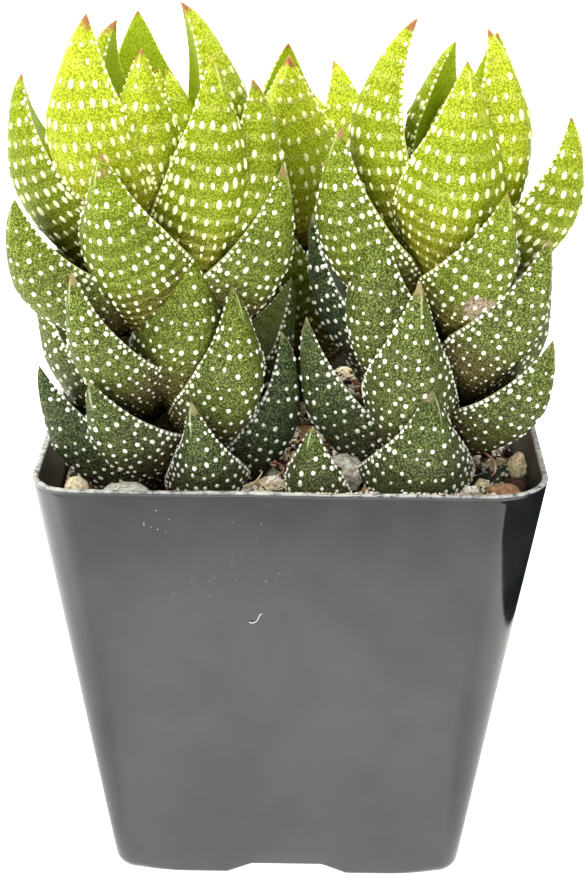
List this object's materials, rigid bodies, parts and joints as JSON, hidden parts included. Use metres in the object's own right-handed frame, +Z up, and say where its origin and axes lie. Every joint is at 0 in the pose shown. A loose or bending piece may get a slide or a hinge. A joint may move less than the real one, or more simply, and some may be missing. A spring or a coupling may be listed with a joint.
{
  "type": "potted haworthia",
  "caption": "Clump of upright, white-pearled haworthia shoots and a small offset, growing in gritty mix in a tapered square black plastic nursery pot.",
  "frame": {"origin": "middle of the pot's flat base, on the surface it stands on", "axes": "+Z up, -Y out of the pot's front wall as pictured, +X to the right seen from the front"},
  "size_m": [0.0724, 0.0634, 0.1156],
  "materials": {
    "pot_plastic": "satin",
    "potting_mix": "matte",
    "left_leaves": "satin",
    "right_leaves": "satin",
    "back_leaves": "satin",
    "offset_leaves": "satin",
    "pumice": "matte"
  },
  "bodies": {
    "root": {"pot": "pot_plastic", "potting_mix": "potting_mix", "rosette_left": "left_leaves", "rosette_right": "right_leaves", "rosette_back": "back_leaves", "offset_front": "offset_leaves", "pumice_chip_1": "pumice", "pumice_chip_2": "pumice", "pumice_chip_3": "pumice", "pumice_chip_4": "pumice", "pumice_chip_5": "pumice", "pumice_chip_6": "pumice", "pumice_chip_7": "pumice", "pumice_chip_8": "pumice", "pumice_chip_9": "pumice", "pumice_chip_10": "pumice", "pumice_chip_11": "pumice"}
  },
  "joints": []
}
